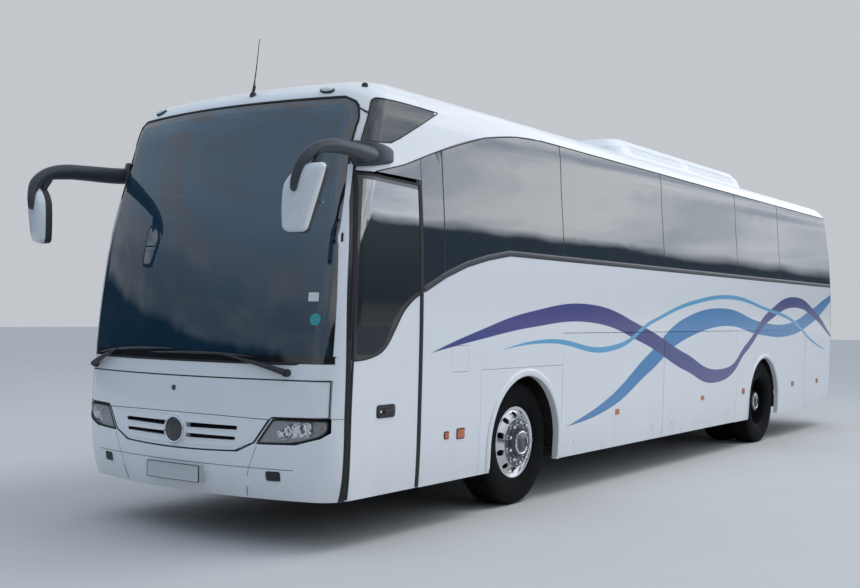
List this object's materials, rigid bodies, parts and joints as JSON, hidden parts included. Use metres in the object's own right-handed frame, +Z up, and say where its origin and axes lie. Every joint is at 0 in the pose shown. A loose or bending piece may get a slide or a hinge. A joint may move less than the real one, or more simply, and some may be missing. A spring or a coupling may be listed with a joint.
{
  "type": "coach bus",
  "caption": "High-floor touring coach with bowed windscreen, dark side glass, swing-out entrance, luggage doors, roof climate unit, steered front wheels and twin rear wheels",
  "frame": {"origin": "on the ground under the middle of the whole coach, mirrors included", "axes": "+X to the vehicle's left (kerb side with the entrance), +Y to the rear, +Z up; the front faces -Y"},
  "size_m": [2.992, 12.4927, 3.6124],
  "materials": {
    "white_paint": "glossy coach paint",
    "glass_dark": "tinted safety glass",
    "lens_clear": "clear lens over reflectors",
    "lens_red": "red lamp lens",
    "lens_amber": "amber and red marker lenses",
    "tyre": "matt rubber",
    "alloy": "polished disc wheel",
    "black_plastic": "moulded black",
    "grey_plastic": "moulded grey",
    "chassis_steel": "chassis black",
    "cast": "machined casting",
    "floor_board": "vinyl floor",
    "seat_fabric": "woven plush",
    "steel_bright": "bright steel"
  },
  "bodies": {
    "body": {"chassis_frame": "chassis_steel", "floor_deck": "floor_board", "roof_shell": "white_paint", "front_cap": "white_paint", "luggage_racks": "grey_plastic", "left_sidewall": "white_paint", "right_sidewall": "white_paint", "left_wheel_panels": "white_paint", "right_wheel_panels": "white_paint", "windscreen": "glass_dark", "left_windows": "glass_dark", "right_windows": "glass_dark", "front_panel": "white_paint", "front_bumper": "white_paint", "headlamps": "lens_clear", "rear_panel": "white_paint", "rear_window": "glass_dark", "tail_lamps": "lens_red", "wheel_housings": "black_plastic", "dashboard": "black_plastic", "steering_wheel": "black_plastic", "driver_seat": "seat_fabric", "passenger_seats": "seat_fabric", "luggage_bay": "floor_board", "engine_block": "cast", "front_axle_beam": "cast", "rear_axle": "cast", "climate_unit": "white_paint", "left_mirror": "grey_plastic", "right_mirror": "grey_plastic", "wipers": "black_plastic", "antenna": "black_plastic", "marker_lamps": "lens_amber", "number_plates": "grey_plastic"},
    "door_arms": {"door_arms": "steel_bright"},
    "entrance_door": {"entrance_door": "white_paint", "entrance_door_glass": "glass_dark"},
    "left_front_luggage_door": {"left_front_luggage_door": "white_paint"},
    "left_rear_luggage_door": {"left_rear_luggage_door": "white_paint"},
    "right_front_luggage_door": {"right_front_luggage_door": "white_paint"},
    "right_rear_luggage_door": {"right_rear_luggage_door": "white_paint"},
    "engine_lid": {"engine_lid": "white_paint"},
    "front_flap_arms": {"front_flap_arms": "steel_bright"},
    "front_flap": {"front_flap": "white_paint", "grille": "white_paint"},
    "filler_flap": {"filler_flap": "white_paint"},
    "front_hatch": {"front_hatch": "grey_plastic"},
    "rear_hatch": {"rear_hatch": "grey_plastic"},
    "left_knuckle": {"left_knuckle": "cast"},
    "right_knuckle": {"right_knuckle": "cast"},
    "front_left_wheel": {"front_left_tyre": "tyre", "front_left_rim": "alloy"},
    "front_right_wheel": {"front_right_tyre": "tyre", "front_right_rim": "alloy"},
    "rear_left_wheel": {"rear_left_tyres": "tyre", "rear_left_rims": "alloy"},
    "rear_right_wheel": {"rear_right_tyres": "tyre", "rear_right_rims": "alloy"}
  },
  "joints": [
    {"name": "left_steer", "type": "hinge", "parent": "body", "child": "left_knuckle", "pos_m": [0.88, -3.155, 0.522], "axis": [0, 0, 1], "range_deg": [-38, 38]},
    {"name": "right_steer", "type": "hinge", "parent": "body", "child": "right_knuckle", "pos_m": [-0.88, -3.155, 0.522], "axis": [0, 0, 1], "range_deg": [-38, 38]},
    {"name": "front_left_wheel_spin", "type": "hinge", "parent": "left_knuckle", "child": "front_left_wheel", "pos_m": [1.03, -3.155, 0.522], "axis": [1, 0, 0], "continuous": true},
    {"name": "front_right_wheel_spin", "type": "hinge", "parent": "right_knuckle", "child": "front_right_wheel", "pos_m": [-1.03, -3.155, 0.522], "axis": [1, 0, 0], "continuous": true},
    {"name": "rear_left_wheel_spin", "type": "hinge", "parent": "body", "child": "rear_left_wheel", "pos_m": [1.066, 2.945, 0.522], "axis": [1, 0, 0], "continuous": true},
    {"name": "rear_right_wheel_spin", "type": "hinge", "parent": "body", "child": "rear_right_wheel", "pos_m": [-1.066, 2.945, 0.522], "axis": [1, 0, 0], "continuous": true},
    {"name": "entrance_arm_swing", "type": "hinge", "parent": "body", "child": "door_arms", "pos_m": [1.09, -5.33, 1.4], "axis": [0, 0, -1], "range_deg": [0, 128]},
    {"name": "entrance_door_level", "type": "hinge", "parent": "door_arms", "child": "entrance_door", "pos_m": [1.051, -4.882, 1.4], "axis": [0, 0, 1], "range_deg": [0, 128]},
    {"name": "left_front_luggage_door_lift", "type": "hinge", "parent": "body", "child": "left_front_luggage_door", "pos_m": [1.2765, -1.4175, 1.4375], "axis": [0, -1, 0], "range_deg": [0, 95]},
    {"name": "left_rear_luggage_door_lift", "type": "hinge", "parent": "body", "child": "left_rear_luggage_door", "pos_m": [1.2765, 0.8055, 1.4375], "axis": [0, -1, 0], "range_deg": [0, 95]},
    {"name": "right_front_luggage_door_lift", "type": "hinge", "parent": "body", "child": "right_front_luggage_door", "pos_m": [-1.2765, -1.4175, 1.4375], "axis": [0, 1, 0], "range_deg": [0, 95]},
    {"name": "right_rear_luggage_door_lift", "type": "hinge", "parent": "body", "child": "right_rear_luggage_door", "pos_m": [-1.2765, 0.8055, 1.4375], "axis": [0, 1, 0], "range_deg": [0, 95]},
    {"name": "engine_lid_lift", "type": "hinge", "parent": "body", "child": "engine_lid", "pos_m": [0, 6.247, 1.8425], "axis": [1, 0, 0], "range_deg": [0, 85]},
    {"name": "front_flap_arm_lift", "type": "hinge", "parent": "body", "child": "front_flap_arms", "pos_m": [0, -5.655, 1.095], "axis": [-1, 0, 0], "range_deg": [0, 85]},
    {"name": "front_flap_level", "type": "hinge", "parent": "front_flap_arms", "child": "front_flap", "pos_m": [0, -5.655, 0.795], "axis": [1, 0, 0], "range_deg": [0, 85]},
    {"name": "filler_flap_swing", "type": "hinge", "parent": "body", "child": "filler_flap", "pos_m": [1.2755, -4.3015, 1.2535], "axis": [0, 0, -1], "range_deg": [0, 110]},
    {"name": "front_hatch_lift", "type": "hinge", "parent": "body", "child": "front_hatch", "pos_m": [0, -1.81, 3.352], "axis": [-1, 0, 0], "range_deg": [0, 40]},
    {"name": "rear_hatch_lift", "type": "hinge", "parent": "body", "child": "rear_hatch", "pos_m": [0, 4.84, 3.352], "axis": [-1, 0, 0], "range_deg": [0, 40]}
  ],
  "couplings": [
    {"joint": "right_steer", "follows": "left_steer", "ratio": 1},
    {"joint": "entrance_door_level", "follows": "entrance_arm_swing", "ratio": 1},
    {"joint": "front_flap_level", "follows": "front_flap_arm_lift", "ratio": 1}
  ]
}
